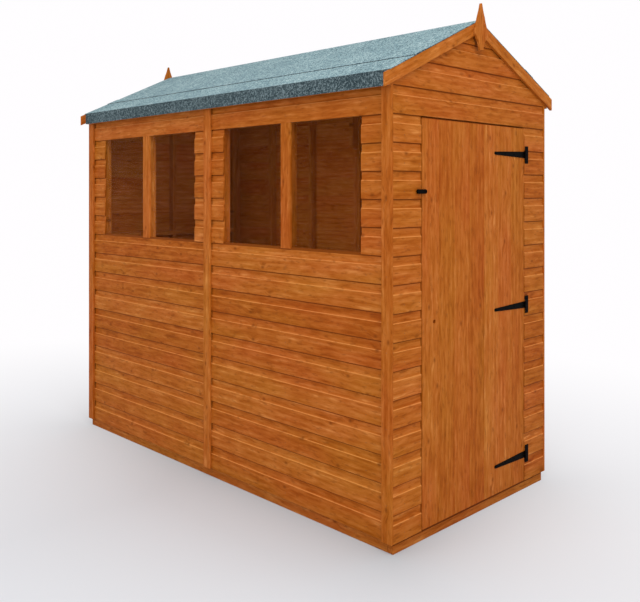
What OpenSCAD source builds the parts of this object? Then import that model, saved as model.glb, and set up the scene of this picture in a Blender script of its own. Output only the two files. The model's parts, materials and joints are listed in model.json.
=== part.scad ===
// Small apex garden shed: shiplap panels on a framed floor, felted roof, boarded door.
// Millimetres, +Z up. Length runs along Y, the door gable faces -Y, the window wall faces -X.

/* [Plan] */
// Length of one side panel, two to a side
panel_len = 1200; // [1100:20:1600]
// Width over the side wall boarding
body_w = 1150; // [1150:10:1500]

/* [Boarding] */
// Height of wall that one board covers
board_cover = 113; // [105:1:120]
// Thickness of the boarding
clad_t = 12; // [11:1:16]
// Depth of the scoop run along the top of each board
scoop_depth = 5.5; // [3:0.5:7]
// Height of the scoop below the lip of the board above
scoop_h = 39; // [30:1:50]
// Radius at the foot of the scoop
scoop_r = 12; // [8:1:20]
// Number of whole boards up to the head of the door and windows
head_rows = 15; // [14:1:17]
// Number of whole boards up to the window sill
sill_rows = 10; // [8:1:12]
// Width of the strips at the corners and over the mid joint
strip_w = 52; // [45:1:75]
// Thickness of the strips
strip_t = 12; // [9:1:18]

/* [Framing] */
// Depth of the wall framing, from the boarding inwards
frame_d = 44; // [38:1:60]
// Thickness of studs, rails and joists
frame_w = 28; // [24:1:38]
// Height of the base frame
base_h = 44; // [38:1:75]
// Set-back of the base frame behind the face of the boarding
base_in = 8; // [3:1:12]
// Thickness of the floor boards
floor_t = 12; // [10:1:20]
// Number of joists between the two side members
joists = 3; // [2:1:4]

/* [Windows] */
// Wall between the mid joint and each window opening
win_mid = 120; // [100:5:300]
// Wall between each window opening and the end of its panel
win_end = 160; // [110:5:300]
// Width of the mullion board
mullion_w = 66; // [50:1:90]
// Lap of the glass behind the edges of the boarding
glass_lap = 14; // [10:1:20]
// Thickness of the glass
glass_t = 3; // [3:0.5:4]
// Width of the beads round each pane
bead_w = 12; // [8:1:16]
// Depth of the beads, from the glass inwards
bead_t = 30; // [12:1:34]

/* [Roof] */
// Pitch of the roof in degrees
pitch = 25; // [22:1:28]
// Height of the side framing's top edge above the window head
head_rise = 172.5; // [140:0.5:300]
// Reach of the felted eaves past the side boarding
eaves_out = 33; // [28:1:60]
// Thickness of the roof boards
roof_t = 12; // [10:1:18]
// Thickness of the roofing felt
felt_t = 2.5; // [2:0.5:4]
// Width of the felt sheet over the ridge
felt_roll = 1000; // [900:10:1080]
// Lap of the ridge sheet over the lower sheets
felt_lap = 75; // [50:5:100]
// Height of the battens under the eaves
eaves_h = 48; // [34:1:60]
// Depth of the truss timbers
truss_d = 50; // [40:1:60]
// Size of the slant at the foot of each truss leg
leg_cut = 22; // [10:1:30]
// Height of the foot of the truss legs above the window head, negative below
truss_foot = -50; // [-70:5:-30]
// Height of the bargeboards, measured plumb
barge_h = 55; // [45:1:80]
// Thickness of the bargeboards
barge_t = 13; // [10:1:20]
// Reach of the bargeboards past the eaves
barge_out = 27; // [5:1:50]
// Width of the finials
finial_w = 96; // [80:1:120]
// Height of the finials
finial_h = 207; // [180:1:240]
// Height of the finials' points above the apex of the bargeboards
finial_up = 75; // [50:1:90]
// Thickness of the finials
finial_t = 12; // [10:1:20]

/* [Door] */
// Width of the door
door_w = 782; // [700:2:800]
// Gap round the door
door_gap = 6; // [5.5:0.5:8]
// Number of boards across the door
door_boards_n = 7; // [6:1:8]
// Width of the ledges and braces on the inner face
ledge_w = 70; // [60:1:90]
// Thickness of the ledges and braces
ledge_t = 20; // [16:1:22]
// Run of each brace along its ledges
brace_run = 91; // [70:1:120]
// Height of the lowest hinge above the foot of the door
hinge_low = 128; // [110:1:160]
// Distance of the top hinge below the head of the door
hinge_top = 133; // [110:1:160]
// Reach of the hinge strap over the door
strap_l = 257; // [180:1:300]
// Thickness of the hinge leaves
leaf_t = 2.5; // [2:0.5:3]
// Diameter of the hinge pins
pin_d = 5; // [4:0.5:6]
// Radial play between pin and knuckle
pin_play = 0.05; // [0.02:0.01:0.1]
// Distance of the keyhole from the free edge of the door
key_in = 80; // [60:1:110]
// Diameter of the keyhole
key_d = 18; // [14:1:22]
// Height of the turn button above the foot of the door
button_up = 1386; // [1100:1:1450]
// Length of the turn button
button_l = 64; // [54:1:80]

/* [Hidden] */

// Small amount by which a cutter runs past a face
over = 5;
// Faces on a full turn of the scoop and of the ironmongery
scoop_fn = 96;
iron_fn = 48;

// Plan: faces of the boarding and of the framing
half_w = body_w / 2;
frame_x = half_w - clad_t;
inner_x = frame_x - frame_d;
frame_y = panel_len;
inner_y = frame_y - frame_d;
half_l = frame_y + clad_t;
base_x = half_w - base_in;
base_y = half_l - base_in;

// Heights
foot_z = base_h;
floor_z = base_h + floor_t;
head_z = foot_z + board_cover * head_rows;
sill_z = foot_z + board_cover * sill_rows;

// Roof
tan_p = tan(pitch);
cos_p = cos(pitch);
ridge_z = head_z + head_rise + frame_x * tan_p;
eaves_x = half_w + eaves_out;
fold_x = eaves_x - felt_t;
felt_y = half_l + barge_t;
barge_play = 0.3;
barge_z = ridge_z + (roof_t - barge_play) / cos_p;
barge_x = eaves_x + barge_out;
batten_play = 0.5;
batten_x = half_w + strip_t + batten_play;
lap_x = (felt_roll / 2) * cos_p;
lap_top_x = lap_x - felt_lap * cos_p;
step_run = 6;
lap_gap = 0.3;
lap_play = 0.02;

// Windows
win_w = panel_len - win_mid - win_end;
win_y1 = win_mid + win_w;
pane_mid = win_mid + win_w / 2;
pane_w = (win_w - frame_w) / 2 + glass_lap;
pane_gap = 0.3;
glass_x = frame_x - pane_gap;
bead_x = glass_x - glass_t - pane_gap;

// Door
door_x = door_w / 2;
open_x = door_x + door_gap;
foot_gap = 1;
foot_check = 5;
door_foot = foot_z + foot_gap;
door_head = head_z - door_gap;
stop_in = 12;
stop_clear = 5;
stop_d = 20;
stop_play = 1;
ledge_x = open_x - stop_in - stop_clear - stop_play;
groove = 2;
hinge_zs = [foot_z + hinge_low, (foot_z + hinge_low + head_z - hinge_top) / 2, head_z - hinge_top];

// Hinge: the axis stands proud of the boarding in the gap at the hinge side
knuckle_wall = 2.5;
knuckle_off = 0.5;
knuckle_r = pin_d / 2 + knuckle_wall;
axis_x = door_x + door_gap / 2;
axis_y = -half_l - knuckle_r - knuckle_off;
leaf_off = 1;
tab = knuckle_r + 2 * leaf_off;
plate_w = 34;
plate_h = 83;
strap_h = 31;
strap_tip = 14;
knuckles = 5;
knuckle_gap = 0.4;
bore_r = pin_d / 2 + pin_play;

// Turn button
button_h = 18;
button_t = 6;
button_off = 5;
button_in = 9;
button_x = -door_x + button_in;
button_z = foot_z + button_up;
shank_d = 6;
collar_d = 15;
head_d = 12;
head_flat_d = 7;
head_t = 3;
button_play = 0.2;

// Height of the roof boards' underside at x, plus n square to the slope
function roof_at(x, n = 0) = ridge_z - abs(x) * tan_p + n / cos_p;

// Section through the boarding from its foot up to height h: face towards +X, back at 0
module boarding_section(h) {
  rows = ceil(h / board_cover);
  turn_h = sqrt(scoop_r * scoop_r - pow(scoop_r - scoop_depth, 2));
  tongue = clad_t - scoop_depth;
  difference() {
    square([clad_t, h]);
    for (k = [1:rows])
      translate([tongue, board_cover * k - scoop_h + turn_h]) {
        square([clad_t, scoop_h - turn_h]);
        translate([scoop_r, 0]) circle(r = scoop_r, $fn = scoop_fn);
      }
  }
}

// Boarding along X from x0 to x1, its face towards -Y at the front boarding face
module boarding_x(x0, x1, h) {
  translate([x0, -frame_y, foot_z])
    rotate([90, 0, 90])
      mirror([1, 0, 0])
        linear_extrude(x1 - x0) boarding_section(h);
}

// Boarding along Y from y0 to y1, its face towards -X at the left boarding face
module boarding_y(y0, y1, h) {
  translate([-frame_x, y1, foot_z])
    rotate([90, 0, 0])
      mirror([1, 0, 0])
        linear_extrude(y1 - y0) boarding_section(h);
}

// Everything under the roof boards, between y0 and y1
module under_roof(y0, y1) {
  translate([0, y1, 0])
    rotate([90, 0, 0])
      linear_extrude(y1 - y0)
        polygon([
          [-fold_x, 0], [fold_x, 0],
          [fold_x, roof_at(fold_x)], [0, ridge_z], [-fold_x, roof_at(fold_x)]
        ]);
}

// Box from two corners
module block(a, b) {
  translate(a) cube(b - a);
}

// Base and floor
module base_frame() {
  bay = (2 * base_x - frame_w) / (joists + 1);
  color("peru") difference() {
    union() {
      for (k = [0:joists + 1])
        translate([-base_x + k * bay, -base_y, 0]) cube([frame_w, 2 * base_y, base_h]);
      for (y = [-base_y, base_y - frame_w])
        translate([-base_x, y, 0]) cube([2 * base_x, frame_w, base_h]);
    }
    doorway_check(base_h - foot_check);
  }
}

module floor_boards() {
  color("burlywood") difference() {
    block([-frame_x, -frame_y, base_h], [frame_x, frame_y, floor_z]);
    doorway_check(base_h - over);
  }
}

// Check for the foot of the door, in the rim of the base and the edge of the floor, from z0 up
module doorway_check(z0) {
  block([-open_x, -half_l, z0], [open_x, -frame_y + stop_clear + stop_play, floor_z + over]);
}

// Side walls, drawn at the window wall
module side_wall(y0, y1) {
  intersection() {
    boarding_y(y0, y1, roof_at(frame_x) - foot_z);
    under_roof(y0, y1);
  }
}

module window_wall(s) {
  y0 = s < 0 ? -frame_y : 0;
  wy = s < 0 ? -win_y1 : win_mid;
  color("chocolate") difference() {
    side_wall(y0, y0 + panel_len);
    block([-half_w - over, wy, sill_z], [-frame_x + over, wy + win_w, head_z]);
  }
}

// Frame of a side panel from y0 to y1, with studs starting at each y of the list
module side_frame(y0, y1, studs) {
  top_z = roof_at(inner_x);
  intersection() {
    union() {
      block([-frame_x, y0, floor_z], [-inner_x, y1, floor_z + frame_w]);
      block([-frame_x, y0, roof_at(frame_x) - frame_w], [-inner_x, y1, top_z]);
      for (y = studs)
        block([-frame_x, y, floor_z], [-inner_x, y + frame_w, top_z]);
    }
    under_roof(y0, y1);
  }
}

module window_frame(s) {
  y0 = s < 0 ? -frame_y : 0;
  wy = s < 0 ? -win_y1 : win_mid;
  mid = wy + win_w / 2 - frame_w / 2;
  w0 = wy - glass_lap;
  w1 = wy + win_w + glass_lap;
  z0 = sill_z - glass_lap;
  z1 = head_z + glass_lap;
  color("sienna") union() {
    difference() {
      side_frame(y0, y0 + panel_len, [y0, w0 - frame_w, mid, w1, y0 + panel_len - frame_w]);
      block([-half_w, w0, z0], [0, w1, z1]);
    }
    block([-frame_x, w0 - frame_w, z0 - frame_w], [-inner_x, w1 + frame_w, z0]);
    block([-frame_x, w0 - frame_w, z1], [-inner_x, w1 + frame_w, z1 + frame_w]);
    block([-frame_x, mid, z0], [-inner_x, mid + frame_w, z1]);
  }
}

module plain_frame(s) {
  y0 = s < 0 ? -frame_y : 0;
  step = (panel_len - frame_w) / 3;
  color("sienna") mirror([1, 0, 0])
    side_frame(y0, y0 + panel_len, [for (k = [0:3]) y0 + k * step]);
}

module window_wall_front() { window_wall(-1); }
module window_wall_rear() { window_wall(1); }
module window_frame_front() { window_frame(-1); }
module window_frame_rear() { window_frame(1); }
module plain_wall_front() {
  color("chocolate") mirror([1, 0, 0]) side_wall(-frame_y, 0);
}
module plain_wall_rear() {
  color("chocolate") mirror([1, 0, 0]) side_wall(0, frame_y);
}
module plain_frame_front() { plain_frame(-1); }
module plain_frame_rear() { plain_frame(1); }

// Gables
module gable_wall() {
  intersection() {
    boarding_x(-half_w, half_w, ridge_z - foot_z);
    under_roof(-half_l - over, -frame_y + over);
  }
}

// Upper part of a gable frame: posts, sloping top rails and a centre post, from z0 up
module gable_frame(z0) {
  rail = frame_w / cos_p;
  intersection() {
    union() {
      for (x = [-inner_x, -frame_w / 2, inner_x - frame_w])
        block([x, -frame_y, z0], [x + frame_w, -inner_y, ridge_z]);
      block([-inner_x, -frame_y, z0], [inner_x, -inner_y, z0 + frame_w]);
      difference() {
        block([-inner_x, -frame_y, z0], [inner_x, -inner_y, ridge_z]);
        translate([0, 0, -rail]) under_roof(-frame_y - over, -inner_y + over);
      }
    }
    under_roof(-frame_y - over, -inner_y + over);
  }
}

module rear_gable_wall() {
  color("chocolate") mirror([0, 1, 0]) gable_wall();
}

module rear_gable_frame() {
  color("sienna") mirror([0, 1, 0]) union() {
    gable_frame(floor_z);
    block([-inner_x, -frame_y, sill_z - frame_w], [inner_x, -inner_y, sill_z]);
  }
}

module front_pier_left() {
  color("chocolate") boarding_x(-half_w, -open_x, head_z - foot_z);
}
module front_pier_right() {
  color("chocolate") boarding_x(open_x, half_w, head_z - foot_z);
}
module front_gable_wall() {
  color("chocolate") intersection() {
    gable_wall();
    block([-half_w, -half_l - over, head_z], [half_w, 0, ridge_z]);
  }
}

module pier_frame(s) {
  color("sienna") mirror([s < 0 ? 0 : 1, 0, 0]) {
    block([-inner_x, -frame_y, floor_z], [-inner_x + frame_w, -inner_y, head_z]);
    block([-open_x - frame_w, -frame_y, floor_z], [-open_x, -inner_y, head_z]);
    for (z = [floor_z, head_z - frame_w])
      block([-inner_x, -frame_y, z], [-open_x, -inner_y, z + frame_w]);
  }
}
module pier_frame_left() { pier_frame(-1); }
module pier_frame_right() { pier_frame(1); }
module front_gable_frame() {
  color("sienna") gable_frame(head_z);
}

// Strips
module strip(y0) {
  intersection() {
    block([-half_w - strip_t, y0, foot_z], [-half_w, y0 + strip_w, ridge_z]);
    under_roof(y0, y0 + strip_w);
  }
}
module corner_strips() {
  color("chocolate") for (m = [0, 1]) mirror([m, 0, 0]) {
    strip(-half_l);
    strip(half_l - strip_w);
  }
}
module mid_strips() {
  color("chocolate") for (m = [0, 1]) mirror([m, 0, 0]) strip(-strip_w / 2);
}

// Windows
module at_windows() {
  for (m = [0, 1]) mirror([0, m, 0]) children();
}
module mullions() {
  color("chocolate") at_windows()
    block([-half_w, pane_mid - mullion_w / 2, sill_z], [-frame_x, pane_mid + mullion_w / 2, head_z]);
}
module pane_box(x0, x1, in) {
  for (y = [win_mid - glass_lap, pane_mid + frame_w / 2])
    block([x0, y + in, sill_z - glass_lap + in], [x1, y + pane_w - in, head_z + glass_lap - in]);
}
module glazing() {
  color("lightblue", 0.4) at_windows()
    pane_box(-glass_x, -glass_x + glass_t, pane_gap);
}
module window_beads() {
  color("sienna") at_windows() difference() {
    pane_box(-bead_x, -bead_x + bead_t, 0);
    pane_box(-bead_x - over, -bead_x + bead_t + over, bead_w);
  }
}

// Roof, drawn on the right
module roof_sheet(points, y) {
  translate([0, y, 0]) rotate([90, 0, 0]) linear_extrude(2 * y) polygon(points);
}
module roof_boards_right() {
  color("burlywood") roof_sheet([
    [0, roof_at(0)], [fold_x, roof_at(fold_x)],
    [fold_x, roof_at(fold_x, roof_t)], [0, roof_at(0, roof_t)]
  ], half_l);
}
module roof_boards_left() { mirror([1, 0, 0]) roof_boards_right(); }

// Lower sheet: it lies over the bargeboards, and its fold over the eaves runs between them
module felt_right() {
  fold_z = roof_at(fold_x) - eaves_h;
  fold_top = [[eaves_x, roof_at(eaves_x, roof_t + felt_t)], [fold_x, roof_at(fold_x, roof_t + felt_t)]];
  color("slategray") union() {
    roof_sheet(concat([
      [lap_top_x, roof_at(lap_top_x, roof_t)], [fold_x, roof_at(fold_x, roof_t)],
      [eaves_x, roof_at(eaves_x, roof_t)]
    ], fold_top, [[lap_top_x, roof_at(lap_top_x, roof_t + felt_t)]]), felt_y);
    roof_sheet(concat([[fold_x, fold_z], [eaves_x, fold_z]], fold_top), half_l);
  }
}
module felt_left() { mirror([1, 0, 0]) felt_right(); }

// Ridge sheet, stepped up where it laps the lower sheets
module felt_ridge() {
  r = [
    [0, roof_at(0, roof_t)],
    [lap_top_x - step_run, roof_at(lap_top_x - step_run, roof_t)],
    [lap_top_x - lap_gap, roof_at(lap_top_x - lap_gap, roof_t + felt_t + lap_play)],
    [lap_x, roof_at(lap_x, roof_t + felt_t + lap_play)],
    [lap_x, roof_at(lap_x, roof_t + felt_t * 2)],
    [lap_top_x - lap_gap, roof_at(lap_top_x - lap_gap, roof_t + felt_t * 2)],
    [lap_top_x - step_run, roof_at(lap_top_x - step_run, roof_t + felt_t)],
    [0, roof_at(0, roof_t + felt_t)]
  ];
  color("slategray") {
    roof_sheet(concat([for (k = [0:7]) r[k]], [for (k = [6:-1:1]) [-r[k][0], r[k][1]]]), felt_y);
  }
}

module eaves_battens() {
  color("burlywood") intersection() {
    for (m = [0, 1]) mirror([m, 0, 0])
      block([batten_x, -half_l, roof_at(fold_x) - eaves_h], [fold_x, half_l, ridge_z]);
    under_roof(-half_l - over, half_l + over);
  }
}

// Truss at mid length: two legs against the wall studs and two sloping timbers
module roof_truss() {
  foot = head_z + truss_foot;
  drop = truss_d / cos_p;
  leg_x = inner_x - truss_d;
  color("sienna") intersection() {
    translate([0, frame_w / 2, 0]) rotate([90, 0, 0]) linear_extrude(frame_w)
      polygon([
        [inner_x, ridge_z], [inner_x, foot], [leg_x + leg_cut, foot], [leg_x, foot + leg_cut],
        [leg_x, roof_at(leg_x) - drop], [0, ridge_z - drop], [-leg_x, roof_at(leg_x) - drop],
        [-leg_x, foot + leg_cut], [-leg_x - leg_cut, foot], [-inner_x, foot], [-inner_x, ridge_z]
      ]);
    under_roof(-frame_w, frame_w);
  }
}

// Bargeboards, drawn at the front right
module bargeboard() {
  color("chocolate") translate([0, -half_l, 0]) rotate([90, 0, 0]) linear_extrude(barge_t)
    polygon([
      [0, barge_z], [0, barge_z - barge_h],
      [barge_x, barge_z - barge_h - barge_x * tan_p], [barge_x, barge_z - barge_x * tan_p]
    ]);
}
module bargeboard_front_right() { bargeboard(); }
module bargeboard_front_left() { mirror([1, 0, 0]) bargeboard(); }
module bargeboard_rear_right() { mirror([0, 1, 0]) bargeboard(); }
module bargeboard_rear_left() { mirror([0, 1, 0]) mirror([1, 0, 0]) bargeboard(); }

// Finial outline from the point down, as shares of half its width and of its height
finial_half = [
  [0.06, 1], [0.24, 0.855], [0.49, 0.715], [0.63, 0.61], [0.86, 0.488], [1, 0.43],
  [1, 0.32], [0.72, 0.232], [0.46, 0.159], [0.27, 0.034], [0.25, 0]
];
module finials() {
  foot = barge_z + finial_up - finial_h;
  right = [for (p = finial_half) [p[0] * finial_w / 2, foot + p[1] * finial_h]];
  left = [for (k = [len(right) - 1:-1:0]) [-right[k][0], right[k][1]]];
  color("chocolate") for (m = [0, 1]) mirror([0, m, 0])
    translate([0, -half_l - barge_t, 0]) rotate([90, 0, 0])
      linear_extrude(finial_t) polygon(concat(right, left));
}

// Door
module door_stops() {
  y0 = -frame_y + stop_clear;
  color("sienna") for (m = [0, 1]) mirror([m, 0, 0])
    block([open_x - stop_in, y0, floor_z], [open_x, y0 + stop_d, head_z]);
}

module door_boards() {
  cover = door_w / door_boards_n;
  color("chocolate") difference() {
    block([-door_x, -half_l, door_foot], [door_x, -frame_y, door_head]);
    for (k = [1:door_boards_n - 1])
      translate([-door_x + k * cover, -half_l, door_foot - over])
        linear_extrude(door_head - door_foot + 2 * over)
          polygon([[-2 * groove, -groove], [2 * groove, -groove], [0, groove]]);
    translate([-door_x + key_in, -half_l - over, hinge_zs[1]])
      rotate([-90, 0, 0]) cylinder(d = key_d, h = clad_t + over, $fn = iron_fn);
  }
}

module door_ledges() {
  color("sienna") for (z = hinge_zs)
    block([-ledge_x, -frame_y, z - ledge_w / 2], [ledge_x, -frame_y + ledge_t, z + ledge_w / 2]);
}

// Braces rise from the hinge side towards the free side
module door_braces() {
  color("sienna") for (k = [0, 1]) {
    z0 = hinge_zs[k] + ledge_w / 2;
    z1 = hinge_zs[k + 1] - ledge_w / 2;
    translate([0, -frame_y + ledge_t, 0]) rotate([90, 0, 0]) linear_extrude(ledge_t)
      polygon([
        [ledge_x, z0], [ledge_x - brace_run, z0],
        [-ledge_x, z1], [-ledge_x + brace_run, z1]
      ]);
  }
}

// One knuckle of the barrel, k counted from below, as a solid rod of radius r
module knuckle(k, r) {
  h = strap_h / knuckles;
  translate([axis_x, axis_y, -strap_h / 2 + k * h + knuckle_gap / 2])
    cylinder(r = r, h = h - knuckle_gap, $fn = iron_fn);
}

// Plate on the pier, with its knuckles and the pin
module hinge_plate() {
  h = strap_h / knuckles;
  difference() {
    union() {
      block([axis_x + knuckle_r + leaf_off, -half_l - leaf_t, -plate_h / 2],
        [axis_x + plate_w, -half_l, plate_h / 2]);
      for (k = [0:2:knuckles - 1]) {
        knuckle(k, knuckle_r);
        translate([axis_x, -half_l - leaf_t, -strap_h / 2 + k * h + knuckle_gap / 2])
          cube([tab, leaf_t, h - knuckle_gap]);
      }
    }
    translate([axis_x, axis_y, -strap_h]) cylinder(d = pin_d, h = 2 * strap_h, $fn = iron_fn);
  }
  translate([axis_x, axis_y, -strap_h / 2]) cylinder(d = pin_d, h = strap_h, $fn = iron_fn);
}
module hinge_plates() {
  color("dimgray") for (z = hinge_zs) translate([0, 0, z]) hinge_plate();
}

// Tapered strap on the door, with its knuckles bored for the pin
module hinge_strap() {
  h = strap_h / knuckles;
  root_x = axis_x - knuckle_r - leaf_off;
  tip_x = axis_x - strap_l + strap_tip / 2;
  difference() {
    union() {
      translate([0, -half_l, 0]) rotate([90, 0, 0]) linear_extrude(leaf_t) {
        polygon([
          [root_x, -strap_h / 2], [root_x, strap_h / 2],
          [tip_x, strap_tip / 2], [tip_x, -strap_tip / 2]
        ]);
        translate([tip_x, 0]) circle(d = strap_tip, $fn = iron_fn);
      }
      for (k = [1:2:knuckles - 1]) {
        knuckle(k, knuckle_r);
        translate([axis_x - tab, -half_l - leaf_t, -strap_h / 2 + k * h + knuckle_gap / 2])
          cube([tab, leaf_t, h - knuckle_gap]);
      }
    }
    translate([axis_x, axis_y, -strap_h]) cylinder(r = bore_r, h = 2 * strap_h, $fn = iron_fn);
  }
}
module hinge_straps() {
  color("dimgray") for (z = hinge_zs) translate([0, 0, z]) hinge_strap();
}

// Turn button on its screw
module button_pivot() {
  shank_l = button_off + button_t + 2 * button_play;
  color("dimgray") translate([button_x, -half_l, button_z]) rotate([90, 0, 0]) {
    cylinder(d = collar_d, h = button_off, $fn = iron_fn);
    cylinder(d = shank_d, h = shank_l, $fn = iron_fn);
    translate([0, 0, shank_l]) cylinder(d1 = head_d, d2 = head_flat_d, h = head_t, $fn = iron_fn);
  }
}
module turn_button() {
  r = button_h / 2;
  reach = button_l - button_h;
  color("dimgray") translate([button_x, -half_l - button_off - button_play, button_z]) rotate([90, 0, 0])
    linear_extrude(button_t) difference() {
      union() {
        translate([-reach, -r]) square([reach, button_h]);
        for (x = [-reach, 0]) translate([x, 0]) circle(r = r, $fn = iron_fn);
      }
      circle(r = shank_d / 2 + pin_play, $fn = iron_fn);
    }
}

base_frame();
floor_boards();
window_wall_front();
window_wall_rear();
window_frame_front();
window_frame_rear();
plain_wall_front();
plain_wall_rear();
plain_frame_front();
plain_frame_rear();
rear_gable_wall();
rear_gable_frame();
front_pier_left();
front_pier_right();
front_gable_wall();
pier_frame_left();
pier_frame_right();
front_gable_frame();
corner_strips();
mid_strips();
mullions();
window_beads();
glazing();
roof_boards_left();
roof_boards_right();
felt_left();
felt_right();
felt_ridge();
eaves_battens();
roof_truss();
bargeboard_front_left();
bargeboard_front_right();
bargeboard_rear_left();
bargeboard_rear_right();
finials();
door_stops();
hinge_plates();
door_boards();
door_ledges();
door_braces();
hinge_straps();
button_pivot();
turn_button();
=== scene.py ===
import json
import math
import random

import bmesh
import bpy
from mathutils import Matrix, Vector


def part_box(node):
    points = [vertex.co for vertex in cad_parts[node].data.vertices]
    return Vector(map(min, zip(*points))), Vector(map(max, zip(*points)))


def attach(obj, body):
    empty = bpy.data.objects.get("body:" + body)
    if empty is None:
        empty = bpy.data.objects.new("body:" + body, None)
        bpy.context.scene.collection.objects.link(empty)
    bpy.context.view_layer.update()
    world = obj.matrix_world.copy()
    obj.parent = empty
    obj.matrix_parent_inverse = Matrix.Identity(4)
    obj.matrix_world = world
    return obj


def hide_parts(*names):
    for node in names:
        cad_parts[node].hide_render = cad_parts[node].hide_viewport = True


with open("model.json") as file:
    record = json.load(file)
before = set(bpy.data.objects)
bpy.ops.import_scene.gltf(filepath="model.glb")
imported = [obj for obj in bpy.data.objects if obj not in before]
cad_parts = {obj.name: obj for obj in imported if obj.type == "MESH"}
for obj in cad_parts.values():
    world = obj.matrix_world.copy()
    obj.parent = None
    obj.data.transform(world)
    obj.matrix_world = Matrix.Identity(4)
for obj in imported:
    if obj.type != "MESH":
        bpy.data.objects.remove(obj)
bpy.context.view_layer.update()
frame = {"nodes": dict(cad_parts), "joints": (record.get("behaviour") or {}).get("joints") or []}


# ---- Base frame ----
# Sawn softwood joists on edge inside a rim, nailed together and dipped with the rest of the shed.
# The rim shows as a narrow band under the boarding, and is checked out for the foot of the door.

joist_w = 0.028
joist_count = 3
butt_gap = 0.0002
check_d = 0.006
check_h = 0.005
rim_shadow_h = 0.009
arris = 0.0012
grain_seed = random.Random(41)

# tones past those of plain wood: a dark one for painted shade and for stain soaked into end grain, a pale one for a
# painted highlight, and the width in which a length turns to them
dark_stain_and_shade_tone = -9
painted_highlight_tone = 9
tone_edge = 0.0006


def linear(code, alpha=1.0):
    """A shader colour from an sRGB hex code."""
    parts = [int(code[i:i + 2], 16) / 255 for i in (1, 3, 5)]
    return tuple(p / 12.92 if p <= 0.04045 else ((p + 0.055) / 1.055) ** 2.4 for p in parts) + (alpha,)


def add_node(tree, kind, values=None, links=None, stops=(), **settings):
    """Adds a node with its settings, socket values and links, and the (position, hex code) stops of a ramp."""
    made = tree.nodes.new(kind)
    for name, value in settings.items():
        setattr(made, name, value)
    for name, value in (values or {}).items():
        made.inputs[name].default_value = value
    for name, source in (links or {}).items():
        tree.links.new(source, made.inputs[name])
    if stops:
        points = made.color_ramp.elements
        points[0].position, points[1].position = stops[0][0], stops[-1][0]
        for place, code in stops[1:-1]:
            points.new(place)
        for point, (place, code) in zip(points, stops):
            point.color = linear(code)
    return made


def finish(name):
    """A new material, with its tree of nodes and its shader."""
    material = bpy.data.materials.new(name)
    material.use_nodes = True
    return material, material.node_tree, material.node_tree.nodes["Principled BSDF"]


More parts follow.
